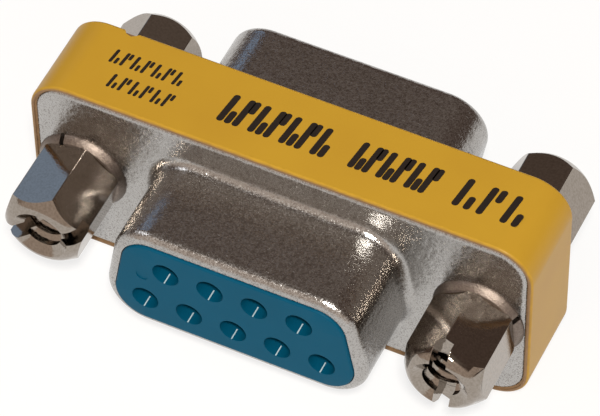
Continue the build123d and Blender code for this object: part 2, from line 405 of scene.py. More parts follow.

# %% [markdown]
# ## Spring steel: the split washers
#
# The washers are coiled from square wire and plated. Drawn wire has a rough
# skin, so light breaks up on it much finer than on the posts. One noise of that
# grain drives both the colour and the bump, and the colour is darker where the
# bump is low: painted shade in the grain's hollows.

# %% Spring steel
def make_spring_steel():
    material, tree, spot = new_material("plated_spring_steel_wire")
    grit = add(tree, "TexNoise", {
        "Vector": spot, "Scale": per(0.12), "Detail": 2.0, "Roughness": 0.7,
    })
    # The colour is darker where the grain's bump is low: painted shade in its hollows.
    tarnish_and_hollow_shade = add(tree, "Mix", {
        MIX_BY: grit.outputs["Fac"], MIX_ONE: colour("#574C44"), MIX_OTHER: colour("#978A80"),
    }, data_type="RGBA")
    bump = add(tree, "Bump", {"Height": grit.outputs["Fac"], "Strength": 0.9, "Distance": 0.04 * MM})
    shader = add(tree, "BsdfPrincipled", {
        "Base Color": tarnish_and_hollow_shade.outputs[MIXED],
        "Metallic": 1.0,
        "Roughness": 0.40,
        "Normal": bump.outputs["Normal"],
    })
    return shown(material, shader.outputs["BSDF"])


spring_steel = make_spring_steel()

# %% [markdown]
# ## Moulded yellow ABS: the body
#
# ABS from a polished mould has a soft gloss, and the colour is a touch uneven.
# Along the two rims where the flanges sit the yellow turns brown: partly settled
# dirt, partly painted shade of the seam.

# %% Yellow ABS
RIM_DIRT_AND_SHADE = 0.12


def make_yellow_abs():
    material, tree, spot = new_material("moulded_yellow_abs")
    cloud = add(tree, "TexNoise", {"Vector": spot, "Scale": per(5.0), "Detail": 3.0})
    speck = add(tree, "TexNoise", {
        "Vector": spot, "Scale": per(0.9), "Detail": 6.0, "Roughness": 0.6,
    })
    base = add(tree, "Mix", {
        MIX_BY: cloud.outputs["Fac"], MIX_ONE: colour("#B9912C"), MIX_OTHER: colour("#AD8429"),
    }, data_type="RGBA")
    axes = add(tree, "SeparateXYZ", {"Vector": spot})
    off_middle = add(tree, "Math", {0: axes.outputs["Y"]}, operation="ABSOLUTE")
    wander = add(tree, "Math", {0: speck.outputs["Fac"], 1: 0.16 * MM, 2: -0.08 * MM},
                 operation="MULTIPLY_ADD")
    reach = add(tree, "Math", {0: off_middle.outputs["Value"], 1: wander.outputs["Value"]},
                operation="ADD")
    # Near each rim the yellow is mixed towards brown: partly dirt, partly painted shade of the seam.
    near_rim = add(tree, "MapRange", {"Value": reach.outputs["Value"],
                                      "From Min": (-FLANGE_FACE - RIM_DIRT_AND_SHADE) * MM,
                                      "From Max": -FLANGE_FACE * MM, "To Max": 0.8})
    dirt_and_painted_shade = add(tree, "Mix", {
        MIX_BY: near_rim.outputs["Result"], MIX_ONE: base.outputs[MIXED], MIX_OTHER: colour("#7D6133"),
    }, data_type="RGBA")
    bump = add(tree, "Bump", {"Height": speck.outputs["Fac"], "Strength": 0.08, "Distance": 0.02 * MM})
    shader = add(tree, "BsdfPrincipled", {
        "Base Color": dirt_and_painted_shade.outputs[MIXED],
        "Roughness": 0.36,
        "IOR": 1.52,
        "Specular IOR Level": 0.15,
        "Normal": bump.outputs["Normal"],
    })
    return shown(material, shader.outputs["BSDF"])


yellow_abs = make_yellow_abs()

# %% [markdown]
# ## Moulded blue PBT: the insulators
#
# The insulators are glass-filled polyester, and the filler leaves the skin
# satin. A broad, faint noise in the colour and a fine one in the bump give
# that skin, and its gloss is kept low.

# %% Blue PBT
def make_blue_pbt():
    material, tree, spot = new_material("moulded_blue_pbt")
    cloud = add(tree, "TexNoise", {"Vector": spot, "Scale": per(3.0), "Detail": 3.0})
    grain = add(tree, "TexNoise", {"Vector": spot, "Scale": per(0.18), "Detail": 2.0})
    base = add(tree, "Mix", {
        MIX_BY: cloud.outputs["Fac"], MIX_ONE: colour("#004B66"), MIX_OTHER: colour("#00455E"),
    }, data_type="RGBA")
    bump = add(tree, "Bump", {"Height": grain.outputs["Fac"], "Strength": 0.12, "Distance": 0.02 * MM})
    shader = add(tree, "BsdfPrincipled", {
        "Base Color": base.outputs[MIXED],
        "Roughness": 0.50,
        "IOR": 1.50,
        "Specular IOR Level": 0.08,
        "Normal": bump.outputs["Normal"],
    })
    return shown(material, shader.outputs["BSDF"])


blue_pbt = make_blue_pbt()

# %% [markdown]
# ## Painted glints, dirt with painted shade, ink, gold flash and laminate
#
# A pale bead on the low wall of each hole paints the glint line that light draws
# there: a painted highlight. The brown of the seams is partly dirt, partly
# painted shade. The print is a thin black film. The contacts are copper alloy
# with a flash of gold, and the board is green laminate. These are all small or
# lie deep inside, so one recipe with a slight unevenness does for them.

# %% Painted glint, dirt with painted shade, ink, gold and laminate
def make_plain(name, shade_one, shade_two, feature_mm, roughness, metallic=0.0):
    """A finish whose only pattern is a slight unevenness of colour and surface."""
    material, tree, spot = new_material(name)
    cloud = add(tree, "TexNoise", {"Vector": spot, "Scale": per(feature_mm), "Detail": 3.0})
    base = add(tree, "Mix", {
        MIX_BY: cloud.outputs["Fac"], MIX_ONE: colour(shade_one), MIX_OTHER: colour(shade_two),
    }, data_type="RGBA")
    bump = add(tree, "Bump", {"Height": cloud.outputs["Fac"], "Strength": 0.1, "Distance": 0.01 * MM})
    shader = add(tree, "BsdfPrincipled", {
        "Base Color": base.outputs[MIXED],
        "Metallic": metallic,
        "Roughness": roughness,
        "Normal": bump.outputs["Normal"],
    })
    return shown(material, shader.outputs["BSDF"])


# The pale bead in each hole paints a highlight: the glint line on its low wall.
hole_glint_paint = make_plain("pale_pbt_painted_glint", "#C6D6DA", "#9FBAC4", 0.2, 0.35)
# Brown for the seams: partly settled dirt, partly painted shade of the gap between flange and rim.
dirt_and_seam_shade = make_plain("brown_dirt_and_painted_seam_shade", "#6A5132", "#87694A", 0.3, 0.7)
black_ink = make_plain("pad_printed_black_ink", "#17110E", "#241B14", 0.4, 0.45)
gold_flash = make_plain("gold_flashed_copper_alloy", "#D9B25A", "#C79A48", 0.5, 0.22,
                        metallic=1.0)
green_laminate = make_plain("green_glass_laminate", "#1F5A34", "#2B6B3D", 0.8, 0.42)

# %% [markdown]
# ## The drawn shell
#
# A real shell starts as a flat blank. A punch draws the D-shaped cup out of it,
# so the sheet keeps its thickness round both bends: a concave one where the cup
# leaves the flange, and a convex one at the mouth, where the edge turns in to
# hold the insulator.
#
# The mesh follows the sheet. Loops lie where the drawing has sharp corners, on
# the outside and on the inside of the sheet, with bands between them, and a
# bevel then bends each corner to its radius. The bends' loops need clean bands
# on both sides, so the flat flange is filled only beyond a narrow band.

# %% The D's corners
D_WIDTH = 16.33
D_HEIGHT = 7.90
D_SLOPE = 10.0
D_CORNER = 2.60

lower_z = -D_HEIGHT / 2 + D_CORNER
upper_z = -lower_z
lower_x = D_WIDTH / 2 - D_CORNER
upper_x = lower_x - (upper_z - lower_z) * math.tan(math.radians(D_SLOPE))
D_CORNERS = [
    (lower_x, lower_z, 90 + D_SLOPE),
    (upper_x, upper_z, 90 - D_SLOPE),
    (-upper_x, upper_z, 90 - D_SLOPE),
    (-lower_x, lower_z, 90 + D_SLOPE),
]
print("D corner centres", [(round(x, 2), round(z, 2)) for x, z, turn in D_CORNERS])


def d_loop(bm, inset, y):
    """The D of the shell, moved in by the inset."""
    return rounded_loop(bm, D_CORNERS, D_CORNER - inset, y)


# %% The flange's corners
FLANGE_CORNER = 2.15
flange_x = shell_high.x - FLANGE_CORNER
flange_z = shell_high.z - FLANGE_CORNER
FLANGE_CORNERS = [
    (flange_x, -flange_z, 90),
    (flange_x, flange_z, 90),
    (-flange_x, flange_z, 90),
    (-flange_x, -flange_z, 90),
]
print("flange corner centres at", round(flange_x, 2), round(flange_z, 2))


def flange_loop(bm, grow, y):
    """The flange's rounded rectangle, moved out by the growth."""
    return rounded_loop(bm, FLANGE_CORNERS, FLANGE_CORNER + grow, y)


# %% Shell
BASE_BEND = 0.60
MOUTH_BEND = 0.60
MOUTH_TURN_IN = 0.65
FLANGE_ROUND = 0.35
STUD_HOLE = 3.05
HOLD = 0.05


def stud_rings(bm, y):
    """The two round holes that the studs pass through."""
    return ring(bm, -POST_X, 0, STUD_HOLE / 2, y), ring(bm, POST_X, 0, STUD_HOLE / 2, y)


def shell_mesh():
    bm = bmesh.new()
    collar = d_loop(bm, -BASE_BEND - HOLD, FLANGE_FACE)
    base = d_loop(bm, 0, FLANGE_FACE)
    mouth = d_loop(bm, 0, MOUTH)
    lip = d_loop(bm, MOUTH_TURN_IN, MOUTH)
    lip_back = d_loop(bm, MOUTH_TURN_IN, MOUTH + SHEET)
    inner_mouth = d_loop(bm, SHEET, MOUTH + SHEET)
    inner_base = d_loop(bm, SHEET, FLANGE_BACK)
    back_collar = d_loop(bm, -BASE_BEND - HOLD, FLANGE_BACK)
    chain(bm, [collar, base, mouth, lip, lip_back, inner_mouth, inner_base, back_collar])

    rim_hold = flange_loop(bm, -FLANGE_ROUND - HOLD, FLANGE_FACE)
    rim = flange_loop(bm, 0, FLANGE_FACE)
    rim_back = flange_loop(bm, 0, FLANGE_BACK)
    chain(bm, [rim_hold, rim, rim_back])

    holes = stud_rings(bm, FLANGE_FACE)
    holes_back = stud_rings(bm, FLANGE_BACK)
    for one, other in zip(holes, holes_back):
        strip(bm, one, other)
    sheet_between(bm, rim_hold, collar, *holes)
    sheet_between(bm, rim_back, back_collar, *holes_back)

    rounded(bm, base, BASE_BEND, steps=7)
    rounded(bm, mouth, MOUTH_BEND, steps=7)
    rounded(bm, inner_mouth, MOUTH_BEND - SHEET, steps=3)
    rounded(bm, inner_base, BASE_BEND + SHEET, steps=6)
    rounded(bm, rim, FLANGE_ROUND, steps=5)
    return bm


finished("front_drawn_shell", shell_mesh(), [tin_plate], "front_shell")
finished("rear_drawn_shell", half_turned(shell_mesh()), [tin_plate], "rear_shell")

# %% [markdown]
# ## The moulded body
#
# The body is a frame, 5.65 mm deep, with a seat on each side that takes a
# flange, so that only a thin rim of plastic shows round the metal. It could be
# a box with cuts, but the loops of the shell serve here too, and they keep the
# rim exactly even. The brown of dirt and painted seam shade covers the rim's end
# faces and the walls of the seats, which face inwards.
#
# The printed film lies on the top face. The face is a hundredth of a millimetre
# lower than the CAD one to make room for it.

# %% Body
FLANGE_CLEARANCE = 0.03
RIM_WALL = 0.25
RIM_ROUND = 0.18
INK_FILM = 0.012
CAVITY_WIDTH = 20.20
CAVITY_HEIGHT = 10.80
CAVITY_CORNER = 1.00
INWARDS = -0.5
END_MARGIN = 0.01


def cavity_loop(bm, clearance, y):
    """The rectangular room in the middle of the body, less a clearance all round."""
    x = CAVITY_WIDTH / 2 - CAVITY_CORNER
    z = CAVITY_HEIGHT / 2 - CAVITY_CORNER
    corners = [(x, -z, 90), (x, z, 90), (-x, z, 90), (-x, -z, 90)]
    return rounded_loop(bm, corners, CAVITY_CORNER - clearance, y)


def body_side(bm, face, back):
    """Rim, seat and seat floor of one side. Returns what joins it to the other side."""
    outer = flange_loop(bm, FLANGE_CLEARANCE + RIM_WALL - INK_FILM, face)
    inner = flange_loop(bm, FLANGE_CLEARANCE, face)
    seat = flange_loop(bm, FLANGE_CLEARANCE, back)
    chain(bm, [outer, inner, seat])
    cavity = cavity_loop(bm, 0, back)
    holes = stud_rings(bm, back)
    sheet_between(bm, seat, cavity, *holes)
    return outer, cavity, *holes


def body_mesh():
    bm = bmesh.new()
    front = body_side(bm, FLANGE_FACE, FLANGE_BACK)
    back = body_side(bm, -FLANGE_FACE, -FLANGE_BACK)
    for one, other in zip(front, back):
        strip(bm, one, other)
    rounded(bm, front[0] + back[0], RIM_ROUND, steps=4)
    bmesh.ops.recalc_face_normals(bm, faces=bm.faces)
    # The second material, dirt with painted shade of the seam, goes on the inward walls of the seats
    # and on the rim's end faces.
    for face in bm.faces:
        middle = face.calc_center_median()
        faces_in = face.normal.x * middle.x + face.normal.z * middle.z < INWARDS
        on_rim = abs(middle.y) > -FLANGE_FACE - END_MARGIN
        if abs(middle.y) > -FLANGE_BACK and (faces_in or on_rim):
            face.material_index = 1
    return bm


# %% [markdown]
# ## The break in the rim
#
# A piece has broken out of the top edge at the back. Its outline, a few straight
# sides seen from above, is drawn up into a block, and a boolean takes the block
# out of the body. The real break is more ragged.

# %% The break in the rim
CHIP_X = -POST_X + 0.70
CHIP_WIDTH = 1.10
CHIP_DEPTH = 0.42
CHIP_HEIGHT = 0.34
OVERSHOOT = 1
# Across the break in parts of its width, and in from the rear face in parts of its depth.
CHIP_OUTLINE = [(-0.50, 0.0), (-0.27, -0.8), (0.05, -1.0), (0.30, -0.55), (0.50, 0.0)]


def chip_cutter():
    """A ragged wedge that stands in the top rear edge."""
    bm = bmesh.new()
    top = body_high.z
    rear_face = body_high.y
    shape = [(CHIP_X + u * CHIP_WIDTH, rear_face + v * CHIP_DEPTH) for u, v in CHIP_OUTLINE]
    shape = [(shape[0][0], rear_face + OVERSHOOT), *shape,
             (shape[-1][0], rear_face + OVERSHOOT)]
    corners = [point(bm, (x, y, top - CHIP_HEIGHT)) for x, y in shape]
    floor = bmesh.ops.contextual_create(bm, geom=corners)["faces"]
    grown = bmesh.ops.extrude_face_region(bm, geom=floor)["geom"]
    lifted = [part for part in grown if isinstance(part, bmesh.types.BMVert)]
    bmesh.ops.translate(bm, verts=lifted, vec=(0, 0, CHIP_HEIGHT + OVERSHOOT))
    bmesh.ops.recalc_face_normals(bm, faces=bm.faces)
    return bm


whole_body = cut_away(body_mesh(), chip_cutter())
finished("moulded_body", whole_body, [yellow_abs, dirt_and_seam_shade], "body")

# %% [markdown]
# ## Dirt and painted shade in the seams
#
# Brown fills the groove between each flange and the rim of the body: partly
# settled dirt, partly painted shade of the gap. A dark line in a material would
# do from afar, but the bead fills the groove and softens it. So it is a thin
# closed bead, made of four loops of the flange that lie a little apart and are
# joined in a ring.

# %% Dirt and painted shade in the seams
# Corners of the bead: how far outside the flange's outline, and how far behind its face.
SEAM_SECTION = [(0.03, 0.10), (-0.12, 0.14), (-0.12, 0.22), (0.03, 0.22)]


def seam_mesh():
    """A fine fillet of dirt and painted shade between the flange's round edge and the rim."""
    bm = bmesh.new()
    loops = [flange_loop(bm, grow, FLANGE_FACE + depth) for grow, depth in SEAM_SECTION]
    chain(bm, [*loops, loops[0]])
    return bm


finished("front_dirt_and_seam_shade", seam_mesh(), [dirt_and_seam_shade], None)
finished("rear_dirt_and_seam_shade", half_turned(seam_mesh()), [dirt_and_seam_shade], None)

# %% [markdown]
# ## The insulators
#
# A nose fills the mouth of the shell, a stem fills the cup, and a shoulder
# behind the flange keeps the moulding in place. Nine straight holes lead to the
# contacts. The loops of the D are used once more, a clearance further in than
# the sheet, and the holes are rings in the face that are joined to rings at
# the back. The face has a shallow round mark of the mould. A fine pale bead in
# each hole of the front insulator is a painted highlight: it stands for the
# glint line on the hole's low wall.

# %% Insulator
PITCH = 2.77
ROW_SPACING = 2.84
NARROW_ROW_WAYS = 4
CONTACT_HOLE = 1.66
CLEARANCE = 0.05
INSULATOR_EDGE = 0.12
MARK_X, MARK_Z, MARK_RADIUS, MARK_DEPTH = -5.66, 0.63, 0.375, 0.05
MARK_STEPS = 24
# The pale bead in each hole is a painted highlight for the glint line on its low wall.
GLINT_ANGLE = -98.0
GLINT_WIDTH = 0.07
GLINT_LENGTH = 0.75
GLINT_HEIGHT = 0.02
GLINT_START = 0.02


def hole_places():
    """Centres of the nine holes, the wide low row first."""
    rows = ((NARROW_ROW_WAYS + 1, -ROW_SPACING / 2), (NARROW_ROW_WAYS, ROW_SPACING / 2))
    return [((n - (ways - 1) / 2) * PITCH, z) for ways, z in rows for n in range(ways)]


def insulator_mesh():
    bm = bmesh.new()
    stem_front = MOUTH + SHEET + CLEARANCE
    nose = d_loop(bm, MOUTH_TURN_IN + CLEARANCE, INSULATOR_FACE)
    nose_back = d_loop(bm, MOUTH_TURN_IN + CLEARANCE, stem_front)
    stem = d_loop(bm, SHEET + CLEARANCE, stem_front)
    stem_back = d_loop(bm, SHEET + CLEARANCE, FLANGE_BACK)
    chain(bm, [nose, nose_back, stem, stem_back])
    shoulder = cavity_loop(bm, CLEARANCE, FLANGE_BACK)
    shoulder_back = cavity_loop(bm, CLEARANCE, SHOULDER_BACK)
    strip(bm, shoulder, shoulder_back)
    sheet_between(bm, shoulder, stem_back)

    mark = ring(bm, MARK_X, MARK_Z, MARK_RADIUS, INSULATOR_FACE, MARK_STEPS)
    mark_floor = ring(bm, MARK_X, MARK_Z, MARK_RADIUS, INSULATOR_FACE + MARK_DEPTH, MARK_STEPS)
    strip(bm, mark, mark_floor)
    sheet_between(bm, mark_floor)
    front = [ring(bm, x, z, CONTACT_HOLE / 2, INSULATOR_FACE) for x, z in hole_places()]
    back = [ring(bm, x, z, CONTACT_HOLE / 2, SHOULDER_BACK) for x, z in hole_places()]
    for one, other in zip(front, back):
        strip(bm, one, other)
    sheet_between(bm, nose, mark, *front)
    sheet_between(bm, shoulder_back, *back)
    rounded(bm, nose, INSULATOR_EDGE, steps=3)
    return bm


def add_painted_glints(bm):
    """A fine pale bead along the low side of each hole, with the second material: a painted highlight
    for the glint line there.
    """
    whole = set(bm.faces)
    depth = INSULATOR_FACE + GLINT_LENGTH / 2 + GLINT_START
    for x, z in hole_places():
        bed = at_angle(x, z, CONTACT_HOLE / 2, GLINT_ANGLE, depth)
        size = Matrix.Diagonal((GLINT_WIDTH, GLINT_LENGTH, GLINT_HEIGHT, 1.0))
        bmesh.ops.create_cube(bm, size=1.0, matrix=Matrix.Translation(bed) @ size)
    for face in bm.faces:
        if face not in whole:
            face.material_index = 1
    return bm


finished("front_insulator_moulding", add_painted_glints(insulator_mesh()), [blue_pbt, hole_glint_paint],
         "front_insulator")
finished("rear_insulator_moulding", half_turned(insulator_mesh()), [blue_pbt],
         "rear_insulator")

# %% [markdown]
# ## The hexagon posts
#
# A post is turned from hexagon bar: the lathe cuts the nose, the bore and the
# stud, and leaves the flats. The mesh is made in that order reversed. A full
# section is spun about the axis, and then six planes take the flats off it, so
# the curved line where the nose's cone meets each flat comes by itself.
#
# The front posts stand on split washers, the rear ones directly on the flange.

# %% Post profile
HEX_FLATS = 4.75
HEX_CORNER = HEX_FLATS / math.sqrt(3)
BAR_SPARE = 0.6
# Radius of the nose's flat face, and the cone's fall from there to the hexagon's corner.
FRONT_LEFT_NOSE = (2.05, 0.80)
FRONT_RIGHT_NOSE = (1.90, 1.18)
REAR_NOSE = (1.95, 0.90)
NOSE_ROUND = 1.00
BASE_CHAMFER = 0.12
THREAD_OUTER = 1.42
THREAD_INNER = 1.13
THREAD_PITCH = 0.635
SINK_EDGE = 1.74
SINK_FLOOR = 1.18
SINK_DEPTH = 0.42
SINK_RELIEF = 0.15
FRONT_BORE = 4.20
SLOT_WIDTH = 1.00
SLOT_DEPTH = 1.30
WASHER_THICKNESS = 0.50
WASHER_FACE = FLANGE_FACE - WASHER_THICKNESS


def nose_corner(nose, y_tip, steps=7):
    """Points (radius, y) of the round nose, from the countersink's edge to the cone."""
    face, rise = nose
    slope = math.atan2(rise, HEX_CORNER - face)
    middle = face - NOSE_ROUND * math.tan(slope / 2)
    first = math.asin((SINK_EDGE - middle) / NOSE_ROUND)
    turns = [first + (slope - first) * n / steps for n in range(steps + 1)]
    return [(middle + NOSE_ROUND * math.sin(turn), y_tip + NOSE_ROUND * (1 - math.cos(turn)))
            for turn in turns]


def post_profile(nose, bore_end, foot, tail):
    """Half section of a front-facing post: bore, nose, cone, foot and what follows it."""
    wide = HEX_CORNER + BAR_SPARE
    face, rise = nose
    cone = rise / (HEX_CORNER - face)
    return [
        *bore_end,
        (THREAD_OUTER, POST_TIP + SINK_DEPTH + SINK_RELIEF),
        (SINK_FLOOR, POST_TIP + SINK_DEPTH),
        *nose_corner(nose, POST_TIP),
        (wide, POST_TIP + cone * (wide - face)),
        (wide, foot - (wide - HEX_CORNER + BASE_CHAMFER)),
        (HEX_CORNER - BASE_CHAMFER, foot),
        *tail,
    ]


def spun(profile, steps=96):
    """Spins a closed or axis-to-axis half section about the Y axis."""
    bm = bmesh.new()
    points = [point(bm, (radius, y, 0)) for radius, y in profile]
    for one, other in zip(points, points[1:]):
        bmesh.ops.contextual_create(bm, geom=[one, other])
    if profile[0][0] > 0:
        bmesh.ops.contextual_create(bm, geom=[points[-1], points[0]])
    bmesh.ops.spin(bm, geom=bm.verts[:] + bm.edges[:], cent=(0, 0, 0), axis=(0, -1, 0),
                   angle=2 * math.pi, steps=steps, use_merge=True, use_duplicate=False)
    bmesh.ops.remove_doubles(bm, verts=bm.verts, dist=TOUCHING)
    bmesh.ops.recalc_face_normals(bm, faces=bm.faces)
    return bm


# %% [markdown]
# ## Flats and their worn edges
#
# Each cut with a plane leaves an open side, which is closed with one face. The
# long edges between the flats are a little worn, so they get a narrow bevel. The
# curved edges round the nose get none: a bevel there can make the mesh overlap
# itself, and a boolean on such a mesh can fail without a word.

# %% Flats
EDGE_WEAR = 0.05
ON_PLANE = 1e-5
LONG_EDGE = 2
FLAT_MARGIN = 0.1


def take_flats(bm, turn):
    """Six cuts that leave the hexagon, one corner at the turn."""
    for n in range(6):
        angle = math.radians(turn + 30 + 60 * n)
        outwards = Vector((math.cos(angle), 0, math.sin(angle)))
        everything = bm.verts[:] + bm.edges[:] + bm.faces[:]
        cut = bmesh.ops.bisect_plane(bm, geom=everything, dist=ON_PLANE,
                                     plane_co=outwards * HEX_FLATS / 2, plane_no=outwards,
                                     clear_outer=True)
        edges = [part for part in cut["geom_cut"] if isinstance(part, bmesh.types.BMEdge)]
        bmesh.ops.contextual_create(bm, geom=edges)
    bmesh.ops.recalc_face_normals(bm, faces=bm.faces)
    long_edges = [edge for edge in bm.edges
                  if abs((edge.verts[0].co - edge.verts[1].co).y) > LONG_EDGE
                  and edge.verts[0].co.xz.length > HEX_FLATS / 2 + FLAT_MARGIN]
    rounded(bm, long_edges, EDGE_WEAR, steps=3)


# %% [markdown]
# ## Thread and slot
#
# The thread is one ridge, spun about the axis with a step along it. Its root
# lies a little inside the wall of the bore. The two front posts have a sawn slot
# for a screwdriver, and the saw goes through the ridge as well, so the same
# block is taken from both.

# %% Thread
RIDGE_ROOT = 0.30
RIDGE_CREST = 0.04
RIDGE_SINK = 0.03
RIDGE_STEPS = 40


def thread_mesh(y_from, y_to):
    """The ridge of an inside thread, from one depth to another."""
    bm = bmesh.new()
    turns = (y_to - y_from) / THREAD_PITCH
    root = THREAD_OUTER + RIDGE_SINK
    section = [(root, -RIDGE_ROOT), (THREAD_INNER, -RIDGE_CREST),
               (THREAD_INNER, RIDGE_CREST), (root, RIDGE_ROOT)]
    points = [point(bm, (radius, y_from + y, 0)) for radius, y in section]
    start = bmesh.ops.contextual_create(bm, geom=points)["faces"]
    bmesh.ops.spin(bm, geom=start, cent=(0, 0, 0), axis=(0, -1, 0),
                   dvec=(0, THREAD_PITCH / RIDGE_STEPS, 0), angle=2 * math.pi * turns,
                   steps=round(RIDGE_STEPS * turns))
    bmesh.ops.recalc_face_normals(bm, faces=bm.faces)
    return bm


def joined(one, other):
    """Both meshes as one."""
    extra = bpy.data.meshes.new("extra")
    other.to_mesh(extra)
    other.free()
    one.from_mesh(extra)
    bpy.data.meshes.remove(extra)
    return one


def slot_cutter(turn):
    """The saw's cut across the nose."""
    bm = bmesh.new()
    size = Matrix.Diagonal((3 * HEX_FLATS, 2 * SLOT_DEPTH, SLOT_WIDTH, 1.0))
    turned = Matrix.Rotation(math.radians(-turn), 4, "Y")
    at_tip = Matrix.Translation((0, POST_TIP, 0))
    bmesh.ops.create_cube(bm, size=1.0, matrix=at_tip @ turned @ size)
    return bm


# %% [markdown]
# ## The four posts
#
# A front post ends in a stud that goes through the whole stack. A rear post is
# bored through: the stud of the front one is screwed into its foot, and its
# thread begins beyond that. The ridge is joined to the post as it is, without a
# boolean, because its root is hidden in the wall.

# %% Front posts
DRILL_POINT = 0.3
BORE_RELIEF = 0.2
STUD_CHAMFER = 0.2
RIDGE_START = 0.32
FRONT_RIDGE_END = 0.5


def front_post_mesh(turn, nose):
    bore_floor = POST_TIP + FRONT_BORE
    bore_end = [(0.0, bore_floor + DRILL_POINT), (THREAD_INNER, bore_floor),
                (THREAD_OUTER, bore_floor - BORE_RELIEF)]
    stud = [(THREAD_OUTER, WASHER_FACE), (THREAD_OUTER, STUD_TIP - STUD_CHAMFER),
            (THREAD_OUTER - STUD_CHAMFER, STUD_TIP), (0.0, STUD_TIP)]
    post = spun(post_profile(nose, bore_end, WASHER_FACE, stud))
    take_flats(post, turn)
    post = cut_away(post, slot_cutter(turn))
    ridge = thread_mesh(POST_TIP + SINK_DEPTH + RIDGE_START, bore_floor - FRONT_RIDGE_END)
    return joined(post, cut_away(ridge, slot_cutter(turn)))


# %% Rear posts
STUD_CLEARANCE = 0.03
STUD_REACH = 2.10
STUD_STEP = 0.05
REAR_RIDGE_END = 0.4


def rear_post_mesh(turn, nose):
    """Made as a front-facing post and turned round at the end."""
    seat = FLANGE_FACE - STUD_REACH
    wide_bore = THREAD_OUTER + STUD_CLEARANCE
    bore_end = [(wide_bore, FLANGE_FACE), (wide_bore, seat), (THREAD_OUTER, seat - STUD_STEP)]
    post = spun(post_profile(nose, bore_end, FLANGE_FACE, []))
    take_flats(post, -turn)
    ridge = thread_mesh(POST_TIP + SINK_DEPTH + RIDGE_START, seat - REAR_RIDGE_END)
    return half_turned(joined(post, ridge))


# %% All four posts
# Name, CAD node, place along X, turn of a corner in degrees, nose, and the shape.
POSTS = [
    ("front_left_hexagon_post", "front_left_post", -POST_X, 17.0, FRONT_LEFT_NOSE, front_post_mesh),
    ("front_right_hexagon_post", "front_right_post", POST_X, 94.0, FRONT_RIGHT_NOSE, front_post_mesh),
    ("rear_left_hexagon_post", "rear_left_post", -POST_X, 43.0, REAR_NOSE, rear_post_mesh),
    ("rear_right_hexagon_post", "rear_right_post", POST_X, 3.0, REAR_NOSE, rear_post_mesh),
]
for name, node, x, turn, nose, shape in POSTS:
    mesh = shape(turn, nose)
    bmesh.ops.translate(mesh, verts=mesh.verts, vec=(x, 0, 0))
    finished(name, mesh, [nickel_plate], node)

# %% [markdown]
# ## The split washers
#
# A split washer is a turn of square spring-steel wire. It keeps a front post
# from working loose, and it shows as a rough bright ring at the post's foot. A
# spun section gives the ring, with the worn slope of its outer edge, and a thin
# block cuts the split.

# %% Split washers
WASHER_HOLE = 1.50
WASHER_LAND = 2.52
WASHER_RADIUS = 2.81
EDGE_BREAK = 0.05
# The worn slope: where it begins and how far below the front face, where it ends and
# how far above the flange.
SLOPE_TOP, SLOPE_FALL = 2.57, 0.03
SLOPE_FOOT, SLOPE_RISE = 2.79, 0.09
SPLIT_WIDTH, SPLIT_LENGTH, SPLIT_HEIGHT = 0.30, 3.0, 1.0
SPLIT_MIDDLE = 2.0


def washer_mesh(split_turn):
    section = [
        (WASHER_HOLE, FLANGE_FACE),
        (WASHER_HOLE, WASHER_FACE + EDGE_BREAK),
        (WASHER_HOLE + EDGE_BREAK, WASHER_FACE),
        (WASHER_LAND, WASHER_FACE),
        (SLOPE_TOP, WASHER_FACE + SLOPE_FALL),
        (SLOPE_FOOT, FLANGE_FACE - SLOPE_RISE),
        (WASHER_RADIUS, FLANGE_FACE - EDGE_BREAK),
        (WASHER_RADIUS, FLANGE_FACE),
    ]
    cutter = bmesh.new()
    turned = Matrix.Rotation(math.radians(-split_turn), 4, "Y")
    place = Matrix.Translation((SPLIT_MIDDLE, (FLANGE_FACE + WASHER_FACE) / 2, 0))
    size = Matrix.Diagonal((SPLIT_LENGTH, SPLIT_HEIGHT, SPLIT_WIDTH, 1.0))
    bmesh.ops.create_cube(cutter, size=1.0, matrix=turned @ (place @ size))
    return cut_away(spun(section), cutter)


for name, node, x, split_turn in (
    ("front_left_split_washer", "front_left_washer", -POST_X, 114.0),
    ("front_right_split_washer", "front_right_washer", POST_X, 27.0),
):
    mesh = washer_mesh(split_turn)
    bmesh.ops.translate(mesh, verts=mesh.verts, vec=(x, 0, 0))
    finished(name, mesh, [spring_steel], node)

# %% [markdown]
# ## The printed marks
#
# The top face carries print in two sizes. Pad printing leaves a film about a
# hundredth of a millimetre thick. Plain slanted bars stand in its place, in the
# same groups, sizes and positions. Each bar is a small upright block whose ends
# are rounded, leaned over and set in its row.

# %% Print
LEAN = 0.12
# Start along X, middle along Y, height, number of bars, and the step from bar to bar.
BAR_ROWS = [
    (-11.95, 0.72, 1.05, 7, 0.665),
    (-11.25, -0.98, 1.05, 6, 0.690),
    (-4.35, 0.0, 2.15, 7, 0.965),
    (3.75, 0.0, 2.05, 6, 0.860),
    (10.15, 0.05, 2.15, 3, 1.450),
]
# Parts of a bar's height, of its width, of the step and of the film.
BAR_WIDTH = 0.19
BAR_END = 0.45
SHORT_STEP, SHORT_OFFSET, SHORT_HEIGHT = 0.42, 0.27, 0.46
FILM_SHARE = 0.8


def bar(bm, x, y, height, width):
    """One bar of ink, with rounded corners and a slant."""
    before = set(bm.faces)
    place = Matrix.Translation((x, y, body_high.z - INK_FILM))
    shape = Matrix.Diagonal((width, height, 1.0, 1.0))
    lean = Matrix.Shear("XZ", 4, (0.0, 0.0))
    lean[0][1] = LEAN
    bmesh.ops.create_grid(bm, x_segments=1, y_segments=1, size=0.5,
                          matrix=place @ lean @ shape)
    corners = [vert for face in bm.faces if face not in before for vert in face.verts]
    bmesh.ops.bevel(bm, geom=corners, offset=width * BAR_END, offset_type="OFFSET",
                    segments=4, profile=0.5, affect="VERTICES", clamp_overlap=False,
                    material=-1)


